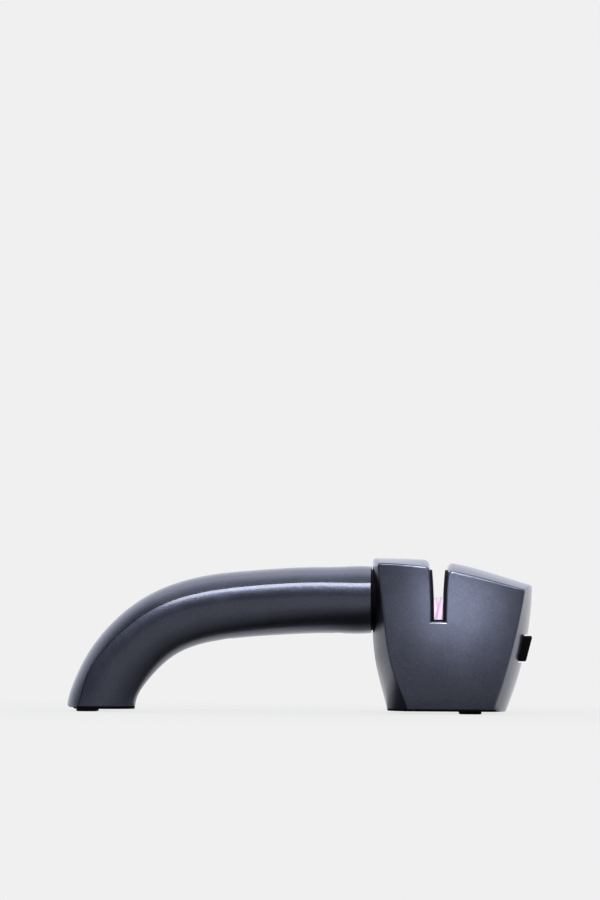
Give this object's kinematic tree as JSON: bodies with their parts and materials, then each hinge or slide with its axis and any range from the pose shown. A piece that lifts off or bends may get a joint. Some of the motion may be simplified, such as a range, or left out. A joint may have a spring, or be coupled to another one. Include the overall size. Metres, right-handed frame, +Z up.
{
  "type": "manual knife sharpener",
  "caption": "Pull-through knife sharpener with a slotted head, crossed ceramic rods in a drop-out module, a release pad and a bent handle.",
  "frame": {"origin": "on the table, under the middle of the length and the middle of the width, at the feet's undersides", "axes": "+X along the length from the handle's leg to the head, +Y across the width, +Z up"},
  "size_m": [0.199, 0.046, 0.0664],
  "materials": {
    "anthracite_shell": "satin pearl lacquer",
    "black_moulding": "fine spark texture",
    "black_rubber": "matt",
    "pink_ceramic": "ground ceramic",
    "screw_steel": "zinc plated",
    "spring_steel": "bright drawn"
  },
  "bodies": {
    "body": {"head_housing": "anthracite_shell", "inner_frame": "black_moulding", "base_screws": "screw_steel", "head_foot_front": "black_rubber", "head_foot_rear": "black_rubber", "handle_connector": "black_moulding", "connector_screws": "screw_steel", "handle_top_shell": "anthracite_shell", "handle_bottom_shell": "anthracite_shell", "handle_screws": "screw_steel", "handle_end_cap": "black_moulding", "end_cap_screw": "screw_steel", "handle_foot": "black_rubber", "pad_spring": "spring_steel"},
    "module": {"module_body": "black_moulding", "module_base": "black_moulding", "module_screws": "screw_steel", "ceramic_rod_1": "pink_ceramic", "ceramic_rod_2": "pink_ceramic", "ceramic_rod_3": "pink_ceramic", "ceramic_rod_4": "pink_ceramic", "latch_arm": "spring_steel", "latch_screw": "screw_steel"},
    "pad": {"release_pad": "black_moulding"}
  },
  "joints": [
    {"name": "module_slide", "type": "slide", "parent": "body", "child": "module", "axis": [0, 0, -1], "range_m": [0, 0.05], "deforming": ["latch_arm"]},
    {"name": "pad_press", "type": "slide", "parent": "body", "child": "pad", "axis": [-1, 0, 0], "range_m": [0, 0.0028], "stiffness_N_per_m": 1000, "deforming": ["pad_spring", "latch_arm"]}
  ]
}
